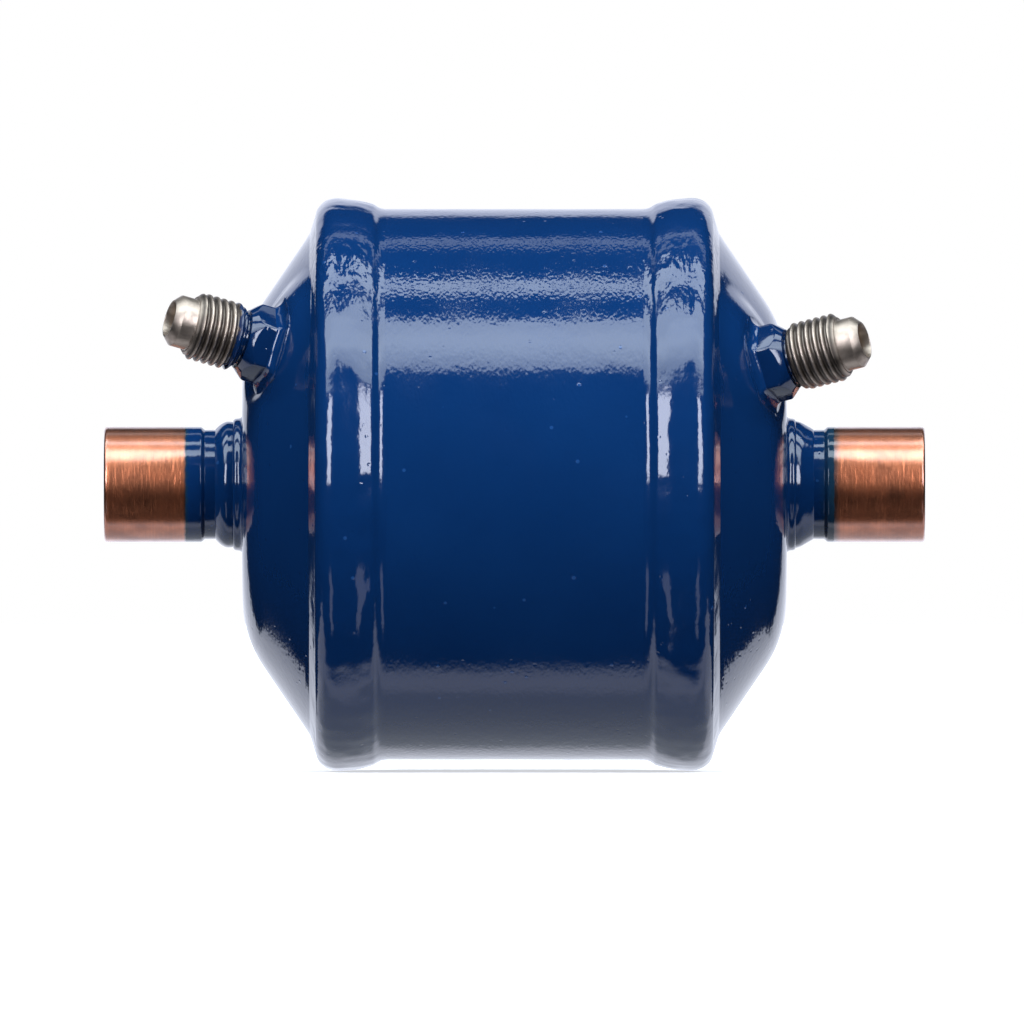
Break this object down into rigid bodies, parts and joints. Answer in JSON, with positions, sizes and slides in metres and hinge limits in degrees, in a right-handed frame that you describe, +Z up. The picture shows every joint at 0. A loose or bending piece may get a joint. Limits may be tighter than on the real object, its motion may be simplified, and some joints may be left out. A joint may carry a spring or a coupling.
{
  "type": "suction line filter drier",
  "caption": "Blue painted welded steel filter drier for a suction line, with copper solder sockets and flare access valves on its conical end caps.",
  "frame": {"origin": "middle of the can on its flow axis", "axes": "+X along the flow from inlet to outlet, +Z up, the access valves lean out on the -Y and +Z side"},
  "size_m": [0.1324, 0.0926, 0.0926],
  "materials": {
    "blue_paint": "gloss",
    "painted_braze": "gloss",
    "copper": "satin",
    "valve_metal": "satin",
    "core_brass": "satin",
    "core_ptfe": "satin",
    "seal_rubber": "matte",
    "spring_wire": "satin",
    "plated_sheet": "satin",
    "wire_screen": "satin",
    "felt": "matte",
    "desiccant": "matte"
  },
  "bodies": {
    "can": {"shell": "blue_paint", "inlet_end_cap": "blue_paint", "inlet_weld_bead": "blue_paint", "inlet_connector": "copper", "inlet_connector_braze": "painted_braze", "inlet_valve_body": "valve_metal", "inlet_valve_braze": "painted_braze", "inlet_core_plug": "core_brass", "inlet_core_gasket": "core_ptfe", "inlet_core_barrel": "core_brass", "inlet_core_spring": "spring_wire", "outlet_end_cap": "blue_paint", "outlet_weld_bead": "blue_paint", "outlet_connector": "copper", "outlet_connector_braze": "painted_braze", "outlet_valve_body": "valve_metal", "outlet_valve_braze": "painted_braze", "outlet_core_plug": "core_brass", "outlet_core_gasket": "core_ptfe", "outlet_core_barrel": "core_brass", "outlet_core_spring": "spring_wire", "outlet_plate": "plated_sheet", "outlet_screen": "wire_screen", "filter_pad": "felt", "desiccant_core": "desiccant", "core_felt": "felt", "pressure_plate": "plated_sheet", "loading_spring": "spring_wire"},
    "inlet_pin": {"inlet_core_pin": "core_brass", "inlet_core_seal": "seal_rubber"},
    "outlet_pin": {"outlet_core_pin": "core_brass", "outlet_core_seal": "seal_rubber"}
  },
  "joints": [
    {"name": "inlet_pin_press", "type": "slide", "parent": "can", "child": "inlet_pin", "axis": [0.9272, 0.2667, -0.263], "range_m": [0, 0.0018], "stiffness_N_per_m": 900, "springref_m": -0.002, "deforming": ["inlet_core_spring"]},
    {"name": "outlet_pin_press", "type": "slide", "parent": "can", "child": "outlet_pin", "axis": [-0.9272, 0.2911, -0.2357], "range_m": [0, 0.0018], "stiffness_N_per_m": 900, "springref_m": -0.002, "deforming": ["outlet_core_spring"]}
  ]
}
